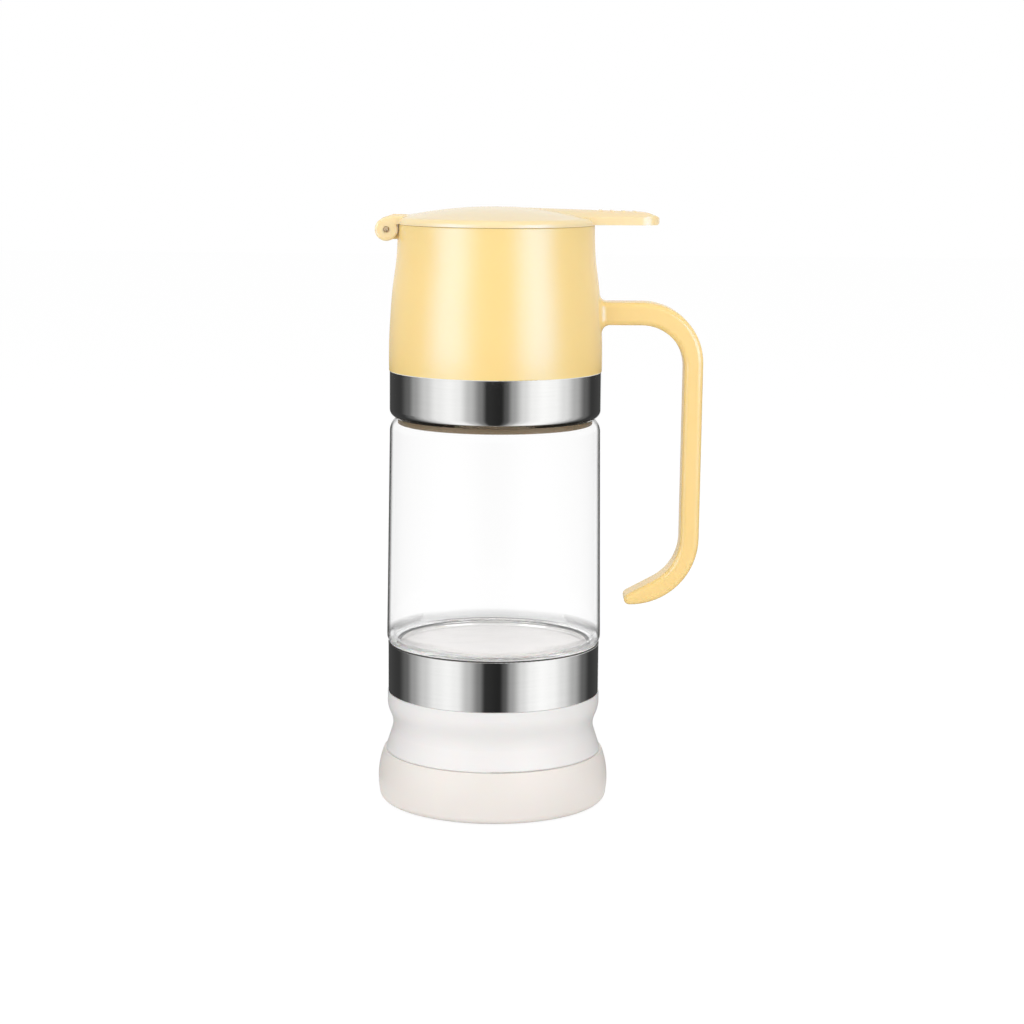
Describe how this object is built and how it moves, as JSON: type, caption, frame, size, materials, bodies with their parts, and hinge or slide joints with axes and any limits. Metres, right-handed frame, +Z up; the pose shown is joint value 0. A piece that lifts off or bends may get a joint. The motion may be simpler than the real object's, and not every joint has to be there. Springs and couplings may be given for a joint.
{
  "type": "honey dispenser",
  "caption": "Glass honey jar on a waisted base, with a screwed-on bell-shaped head, a long hook handle and a hinged domed lid with a thumb tab.",
  "frame": {"origin": "on the table under the jar's axis, at the middle of the foot pad's underside", "axes": "+Z up along the jar's axis, +X towards the handle and the thumb tab, hinge at -X"},
  "size_m": [0.1221, 0.0874, 0.2252],
  "materials": {
    "honey_plastic": "glossy moulded plastic, pale honey yellow",
    "lid_plastic": "glossy moulded plastic, the head's yellow, a little paler",
    "polished_steel": "mirror-polished stainless steel, faint drawing lines round it",
    "steel_pin": "plain turned pin with domed ends",
    "clear_glass": "clear pressed glass",
    "white_base": "satin white moulded plastic",
    "tan_plastic": "tan plastic, seen as a narrow strip under the steel band",
    "clear_silicone": "soft translucent silicone",
    "pad_rubber": "matt pale rubber, ringed underneath"
  },
  "bodies": {
    "base": {"glass_jar": "clear_glass", "jar_grip_ring": "clear_silicone", "lower_band": "polished_steel", "base_cup": "white_base", "jar_cushion": "clear_silicone", "foot_shell": "white_base", "foot_pad": "pad_rubber"},
    "seal": {"neck_seal": "clear_silicone"},
    "head": {"head_shell": "honey_plastic", "hinge_pin": "steel_pin", "neck_collar": "tan_plastic", "upper_band": "polished_steel"},
    "lid": {"lid_cover": "lid_plastic", "lid_plug": "lid_plastic", "lid_gasket": "clear_silicone"}
  },
  "joints": [
    {"name": "head_rise", "type": "slide", "parent": "base", "child": "seal", "axis": [0, 0, 1], "range_m": [0, 0.002]},
    {"name": "head_turn", "type": "hinge", "parent": "seal", "child": "head", "pos_m": [0, 0, 0.157], "axis": [0, 0, 1], "range_deg": [0, 60]},
    {"name": "lid_hinge", "type": "hinge", "parent": "head", "child": "lid", "pos_m": [-0.0405, 0, 0.2168], "axis": [0, -1, 0], "range_deg": [0, 115]}
  ],
  "couplings": [
    {"joint": "head_rise", "follows": "head_turn", "m_per_rad": 0.0019099}
  ]
}
